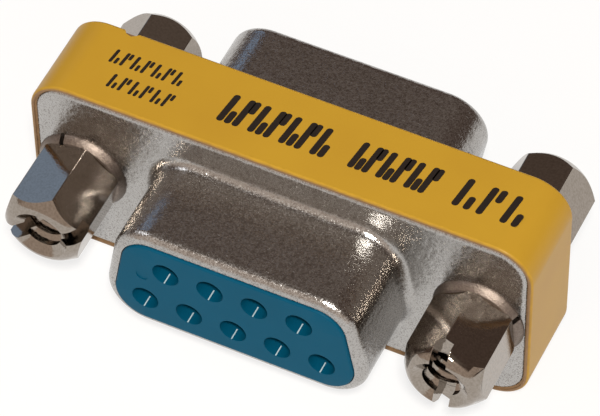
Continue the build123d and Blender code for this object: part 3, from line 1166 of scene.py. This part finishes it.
def print_mesh():
    bm = bmesh.new()
    for x, y, height, count, step in BAR_ROWS:
        for n in range(count):
            stem = x + n * step
            width = height * BAR_WIDTH
            side = 1 if n % 2 else -1
            bar(bm, stem, y, height, width)
            bar(bm, stem + step * SHORT_STEP, y + side * (height * SHORT_OFFSET),
                height * SHORT_HEIGHT, width)
    film = bmesh.ops.extrude_face_region(bm, geom=bm.faces[:])["geom"]
    lifted = [part for part in film if isinstance(part, bmesh.types.BMVert)]
    bmesh.ops.translate(bm, verts=lifted, vec=(0, 0, INK_FILM * FILM_SHARE))
    return bm


finished("printed_marks", print_mesh(), [black_ink], None)

# %% [markdown]
# ## Contacts and board
#
# These keep their CAD meshes. They lie deep in the holes or inside the body, so
# a good material is all that they need.

# %% Materials for the CAD nodes
for name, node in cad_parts.items():
    if "contact" in name or name == "wiring_board":
        node.data.materials.clear()
        node.data.materials.append(green_laminate if name == "wiring_board" else gold_flash)
        print(name, "keeps its CAD mesh and gets", node.data.materials[0].name)

# %% [markdown]
# ## Floor, room and lamps
#
# The object stands on its long side on a sheet of white paper in a dim room.
# Metal shows what is round it: facets that face the floor are light, and those
# that face the walls and the ceiling are dark. The world is therefore dark and
# warm, a little lighter straight overhead, and pale at the horizon and ahead of
# the object, which the bends and the noses of the posts show. Three soft lamps do
# the lighting. The room and the lamps stay where they are when the camera moves.
#
# To the camera, and in metal that mirrors it, the paper glows a little by itself
# and still shows the object's shadow. All other light meets plain paper.

# %% Floor
PAPER_GLOW = 0.75
FLOOR_HALF = 700
FLOOR_GAP = 0.02


def make_paper():
    material, tree, spot = new_material("white_paper_sweep")
    fibre = add(tree, "TexNoise", {"Vector": spot, "Scale": per(4.0), "Detail": 3.0})
    tone = add(tree, "Mix", {
        MIX_BY: fibre.outputs["Fac"], MIX_ONE: colour("#F4F3F1"), MIX_OTHER: colour("#F1F0EE"),
    }, data_type="RGBA")
    paper = add(tree, "BsdfDiffuse", {"Color": tone.outputs[MIXED]})
    glow = add(tree, "Emission", {"Color": colour("#FFFFFF"), "Strength": 1.0})
    path = add(tree, "LightPath")
    sharp = add(tree, "Math", {
        0: path.outputs["Is Glossy Ray"], 1: path.outputs["Is Transmission Ray"],
    }, operation="MAXIMUM")
    any_view = add(tree, "Math", {
        0: path.outputs["Is Camera Ray"], 1: sharp.outputs["Value"],
    }, operation="MAXIMUM")
    seen = add(tree, "Math", {0: any_view.outputs["Value"], 1: PAPER_GLOW}, operation="MULTIPLY")
    mixed = add(tree, "MixShader", {
        0: seen.outputs["Value"], 1: paper.outputs["BSDF"], 2: glow.outputs["Emission"],
    })
    return shown(material, mixed.outputs["Shader"])


def floor_mesh():
    bm = bmesh.new()
    bmesh.ops.create_grid(bm, x_segments=2, y_segments=2, size=FLOOR_HALF,
                          matrix=Matrix.Translation((0, 0, body_low.z - FLOOR_GAP)))
    bmesh.ops.scale(bm, vec=(MM, MM, MM), verts=bm.verts)
    return bm


floor_data = bpy.data.meshes.new("paper_floor")
sheet = floor_mesh()
sheet.to_mesh(floor_data)
sheet.free()
floor = bpy.data.objects.new("paper_floor", floor_data)
floor_data.materials.append(make_paper())
link(floor)
print("floor", round(body_low.z - FLOOR_GAP, 3), "mm high,", 2 * FLOOR_HALF, "mm wide")


# %% Room
def make_room():
    world = bpy.data.worlds.new("dim_room")
    bpy.context.scene.world = world
    world.use_nodes = True
    tree = world.node_tree
    tree.nodes.clear()
    place = add(tree, "TexCoord")
    axes = add(tree, "SeparateXYZ", {"Vector": place.outputs["Generated"]})
    height = add(tree, "MapRange", {"Value": axes.outputs["Z"], "From Min": 0.0, "From Max": 0.03},
                 interpolation_type="SMOOTHSTEP")
    wall = add(tree, "Mix", {
        MIX_BY: height.outputs["Result"], MIX_ONE: colour("#C9BFB6"), MIX_OTHER: colour("#695A52"),
    }, data_type="RGBA")
    high_up = add(tree, "MapRange", {"Value": axes.outputs["Z"], "From Min": 0.70, "From Max": 0.84},
                  interpolation_type="SMOOTHSTEP")
    ceiling = add(tree, "Mix", {
        MIX_BY: high_up.outputs["Result"], MIX_ONE: wall.outputs[MIXED], MIX_OTHER: colour("#82766E"),
    }, data_type="RGBA")
    ahead = add(tree, "MapRange", {"Value": axes.outputs["Y"], "From Min": -0.15, "From Max": -0.60},
                interpolation_type="SMOOTHSTEP")
    shade = add(tree, "Mix", {
        MIX_BY: ahead.outputs["Result"], MIX_ONE: ceiling.outputs[MIXED], MIX_OTHER: colour("#DECDC0"),
    }, data_type="RGBA")
    sky = add(tree, "Background", {"Color": shade.outputs[MIXED], "Strength": 1.0})
    add(tree, "OutputWorld", {"Surface": sky.outputs["Background"]})


make_room()
print("room", bpy.context.scene.world.name)


# %% Lamps
def direction(azimuth, elevation):
    """Unit vector towards a place in the room: azimuth from the front (-Y) towards +X."""
    a, e = math.radians(azimuth), math.radians(elevation)
    return Vector((math.sin(a) * math.cos(e), -math.cos(a) * math.cos(e), math.sin(e)))


def lamp(name, azimuth, elevation, distance, size, watts, tint):
    """A square soft light that faces the object. Distance and size are in metres."""
    data = bpy.data.lights.new(name, "AREA")
    data.shape = "SQUARE"
    data.size = size
    data.energy = watts
    data.color = colour(tint)[:3]
    thing = bpy.data.objects.new(name, data)
    towards = direction(azimuth, elevation)
    thing.location = towards * distance
    thing.rotation_euler = towards.to_track_quat("Z", "Y").to_euler()
    link(thing)
    print("lamp", name, watts, "W")


# Name, azimuth, elevation, distance, size, watts and tint.
for settings in (
    ("flash_panel", 28, 56, 0.50, 0.05, 2.5, "#FFFDF8"),
    ("side_softbox", -82, 45, 0.60, 0.16, 0.35, "#F6F9FF"),
    ("sky_window", -130, 29.5, 0.60, 0.16, 0.060, "#A6D2FF"),
):
    lamp(*settings)

# %% [markdown]
# ## Camera
#
# The view was worked out from the nine holes and the flange's outline: from the
# right front, well above the object, with a long lens. Distance and target are
# in millimetres, and the focal length is in pixels of a frame 600 pixels wide.

# %% Camera
AZIMUTH, ELEVATION, ROLL = 26.44, 51.37, -1.04
DISTANCE = 248.3
TARGET = Vector((-0.153, 0.375, -0.699))
FOCAL_PIXELS = 4321.0
FRAME_WIDTH = 600.0

view = bpy.data.cameras.new("photo_camera")
view.sensor_width = 36.0
view.sensor_fit = "HORIZONTAL"
view.lens = FOCAL_PIXELS / FRAME_WIDTH * view.sensor_width
view.clip_start = 0.01
camera = bpy.data.objects.new("photo_camera", view)
back = direction(AZIMUTH, ELEVATION)
right = Vector((math.cos(math.radians(AZIMUTH)), math.sin(math.radians(AZIMUTH)), 0))
up = back.cross(right)
turn = Matrix.Rotation(math.radians(ROLL), 3, back)
axes = Matrix((turn @ right, turn @ up, back)).transposed()
camera.matrix_world = Matrix.Translation((TARGET + back * DISTANCE) * MM) @ axes.to_4x4()
link(camera)
bpy.context.scene.camera = camera
bpy.context.scene.view_settings.view_transform = "Standard"
print("lens", round(view.lens, 1))
